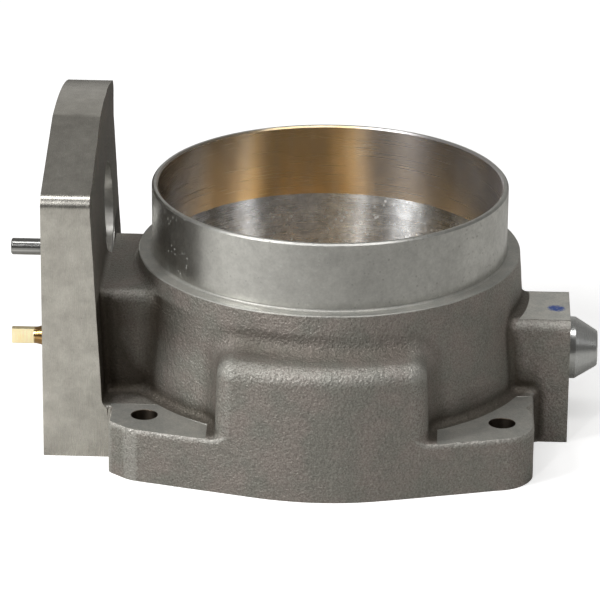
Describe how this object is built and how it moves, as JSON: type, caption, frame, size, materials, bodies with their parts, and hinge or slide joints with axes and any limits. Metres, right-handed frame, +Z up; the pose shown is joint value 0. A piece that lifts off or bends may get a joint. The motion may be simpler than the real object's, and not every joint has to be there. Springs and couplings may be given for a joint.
{
  "type": "throttle body",
  "caption": "Cast throttle body with a machined inlet neck, bolt flange, gear plate, shaft and disc on sealed ball bearings, idler gear pin and end cap.",
  "frame": {"origin": "centre of the bore on the mounting face, which is also the centre of the four flange bolt holes", "axes": "+Z up the bore to the inlet neck, +X along the throttle shaft to the end cap, -X to the gear plate"},
  "size_m": [0.148, 0.1176, 0.0776],
  "materials": {
    "cast_aluminium": "sand cast skin, with the neck, bore, flange face and gear plate machined",
    "turned_aluminium": "bright turned",
    "shaft_brass": "bright, smooth",
    "disc_metal": "rolled sheet, satin",
    "dark_steel": "phosphated, oiled",
    "bearing_steel": "ground",
    "ball_steel": "polished",
    "cage_brass": "pressed",
    "shield_steel": "pressed sheet",
    "seal_rubber": "matt moulded",
    "pin_steel": "ground and polished"
  },
  "bodies": {
    "casting": {"housing": "cast_aluminium", "gear_bearing_outer_race": "bearing_steel", "gear_bearing_shields": "shield_steel", "gear_bearing_snap_ring": "dark_steel", "gear_seal_case": "shield_steel", "gear_seal_lip": "seal_rubber", "end_bearing_outer_race": "bearing_steel", "end_bearing_shields": "shield_steel", "end_seal_case": "shield_steel", "end_seal_lip": "seal_rubber", "preload_wave_washer": "shield_steel", "end_cap": "turned_aluminium", "end_cap_o_ring": "seal_rubber", "idler_gear_pin": "pin_steel"},
    "shaft_and_disc": {"throttle_shaft": "shaft_brass", "throttle_disc": "disc_metal", "disc_screws": "dark_steel", "gear_bearing_inner_race": "bearing_steel", "end_bearing_inner_race": "bearing_steel", "shaft_retaining_ring": "dark_steel"},
    "gear_ball_set": {"gear_bearing_balls": "ball_steel", "gear_bearing_cage": "cage_brass"},
    "end_ball_set": {"end_bearing_balls": "ball_steel", "end_bearing_cage": "cage_brass"}
  },
  "joints": [
    {"name": "throttle_turn", "type": "hinge", "parent": "casting", "child": "shaft_and_disc", "pos_m": [0, 0, 0.0183], "axis": [1, 0, 0], "range_deg": [0, 84]},
    {"name": "gear_balls_turn", "type": "hinge", "parent": "casting", "child": "gear_ball_set", "pos_m": [-0.0611, 0, 0.0183], "axis": [1, 0, 0], "range_deg": [0, 34]},
    {"name": "end_balls_turn", "type": "hinge", "parent": "casting", "child": "end_ball_set", "pos_m": [0.0521, 0, 0.0183], "axis": [1, 0, 0], "range_deg": [0, 34.5]}
  ],
  "couplings": [
    {"joint": "gear_balls_turn", "follows": "throttle_turn", "ratio": 0.4},
    {"joint": "end_balls_turn", "follows": "throttle_turn", "ratio": 0.4048}
  ]
}
